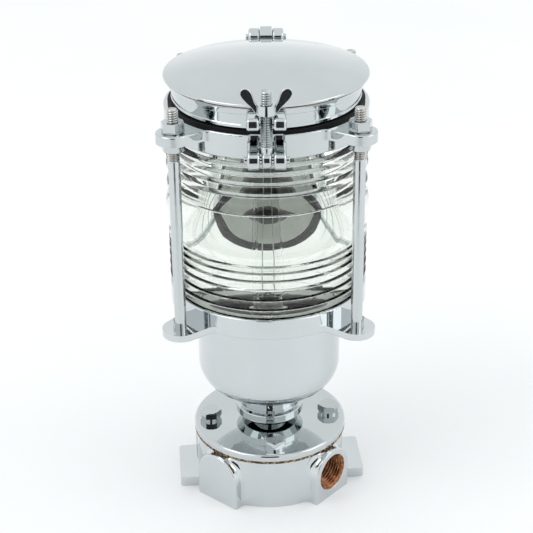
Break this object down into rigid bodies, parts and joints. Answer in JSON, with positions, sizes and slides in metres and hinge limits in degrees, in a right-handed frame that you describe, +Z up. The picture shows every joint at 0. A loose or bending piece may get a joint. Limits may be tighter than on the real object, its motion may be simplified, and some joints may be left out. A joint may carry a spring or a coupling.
{
  "type": "navigation light",
  "caption": "All-round marine navigation light: drum lens caged by rods between a bowl and a hinged domed lid, on a round junction box.",
  "frame": {"origin": "centre of the junction box's flat bottom face, on the lantern's axis", "axes": "+Z up along the lantern's axis, -Y towards the latch, +Y towards the lid hinge, +X to the right seen from the latch side"},
  "size_m": [0.1166, 0.1386, 0.266],
  "materials": {
    "chrome_casting": "polished chrome plate",
    "chrome_hardware": "bright plated fasteners",
    "lens_glass": "clear pressed glass",
    "lamp_glass": "clear blown glass",
    "cork": "pressed cork",
    "black_rubber": "matt",
    "nickel_socket": "satin nickel",
    "insulator": "moulded phenolic",
    "bare_brass": "bright",
    "wire_black": "satin sleeve",
    "wire_white": "satin sleeve",
    "tungsten": "drawn wire"
  },
  "bodies": {
    "lantern": {"box_cover": "chrome_casting", "collar_set_screw": "chrome_hardware", "cover_gasket": "cork", "cover_lock_washers": "chrome_hardware", "cover_screws": "chrome_hardware", "deck_plate": "chrome_casting", "deck_screws": "chrome_hardware", "fresnel_lens": "lens_glass", "guard_rod_front_left": "chrome_hardware", "guard_rod_front_right": "chrome_hardware", "guard_rod_rear_left": "chrome_hardware", "guard_rod_rear_right": "chrome_hardware", "hinge_pin": "chrome_hardware", "junction_box": "chrome_casting", "lamp_base": "nickel_socket", "lamp_filament": "tungsten", "lamp_glass": "lamp_glass", "lantern_bowl": "chrome_casting", "latch_pin": "chrome_hardware", "lead_wire_left": "wire_black", "lead_wire_right": "wire_white", "lid_gasket": "black_rubber", "lock_collar": "chrome_casting", "lower_lens_gasket": "black_rubber", "lower_rod_nuts": "chrome_hardware", "socket_contacts": "bare_brass", "socket_insulator": "insulator", "socket_shell": "nickel_socket", "socket_stem": "nickel_socket", "stem_nipple": "chrome_hardware", "stem_screws": "chrome_hardware", "top_ring": "chrome_casting", "upper_lens_gasket": "black_rubber", "upper_rod_nuts": "chrome_hardware"},
    "lid": {"lid_dome": "chrome_casting", "lid_skirt": "chrome_casting", "dome_screws": "chrome_hardware"},
    "latch_bolt": {"swing_bolt": "chrome_hardware"},
    "latch_nut": {"wing_nut": "chrome_casting"}
  },
  "joints": [
    {"name": "lid_hinge", "type": "hinge", "parent": "lantern", "child": "lid", "pos_m": [0, 0.0626, 0.2532], "axis": [-1, 0, 0], "range_deg": [0, 105]},
    {"name": "swing_bolt_pivot", "type": "hinge", "parent": "lantern", "child": "latch_bolt", "pos_m": [0, -0.062, 0.2278], "axis": [1, 0, 0], "range_deg": [0, 150]},
    {"name": "wing_nut_turn", "type": "hinge", "parent": "latch_bolt", "child": "latch_nut", "pos_m": [0, -0.062, 0.253], "axis": [0, 0, 1], "continuous": true}
  ]
}
